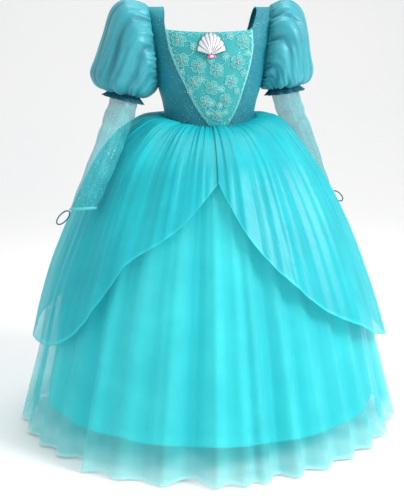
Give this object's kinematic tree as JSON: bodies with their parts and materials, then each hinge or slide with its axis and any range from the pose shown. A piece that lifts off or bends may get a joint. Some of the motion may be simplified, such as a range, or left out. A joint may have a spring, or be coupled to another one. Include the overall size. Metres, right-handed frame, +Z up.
{
  "type": "princess costume dress",
  "caption": "Child's full-length costume gown, filled out as worn: velvet bodice with a lace front, puff sleeves over sheer sleeves, and a gathered bell skirt with petals.",
  "frame": {"origin": "middle of the gown at the top of its shoulders, where a wearer, hanger or stand carries it", "axes": "+Z up from the hem to the shoulders; the front faces -Y; +X is towards the right of somebody who looks at the front"},
  "size_m": [0.742, 0.7441, 0.8009],
  "materials": {
    "velvet": "short matt pile with glitter",
    "satin": "smooth sheen",
    "lace": "corded floral lace",
    "taffeta": "crisp, shiny",
    "glitter_tulle": "sheer, printed with glitter",
    "organza": "sheer, soft sheen",
    "tulle": "sheer, matt",
    "elastic": "matt",
    "enamel": "glossy",
    "pink_enamel": "glossy"
  },
  "bodies": {
    "root": {"bodice_front_panel": "satin", "bodice_lace": "lace", "bodice_side_front_left": "velvet", "bodice_side_front_right": "velvet", "bodice_back_left": "velvet", "bodice_back_right": "velvet", "bodice_back_placket": "velvet", "brooch_shell": "enamel", "brooch_foot": "pink_enamel", "skirt_sheer_front": "tulle", "skirt_sheer_back": "tulle", "skirt_lining_front": "satin", "skirt_lining_back": "satin", "petal_left": "organza", "petal_right": "organza", "sleeve_puff_left": "taffeta", "sleeve_puff_right": "taffeta", "sleeve_ruffle_left": "elastic", "sleeve_ruffle_right": "elastic", "sleeve_lower_left": "glitter_tulle", "sleeve_lower_right": "glitter_tulle", "sleeve_hem_binding_left": "glitter_tulle", "sleeve_hem_binding_right": "glitter_tulle", "finger_loop_left": "elastic", "finger_loop_right": "elastic"}
  },
  "joints": []
}
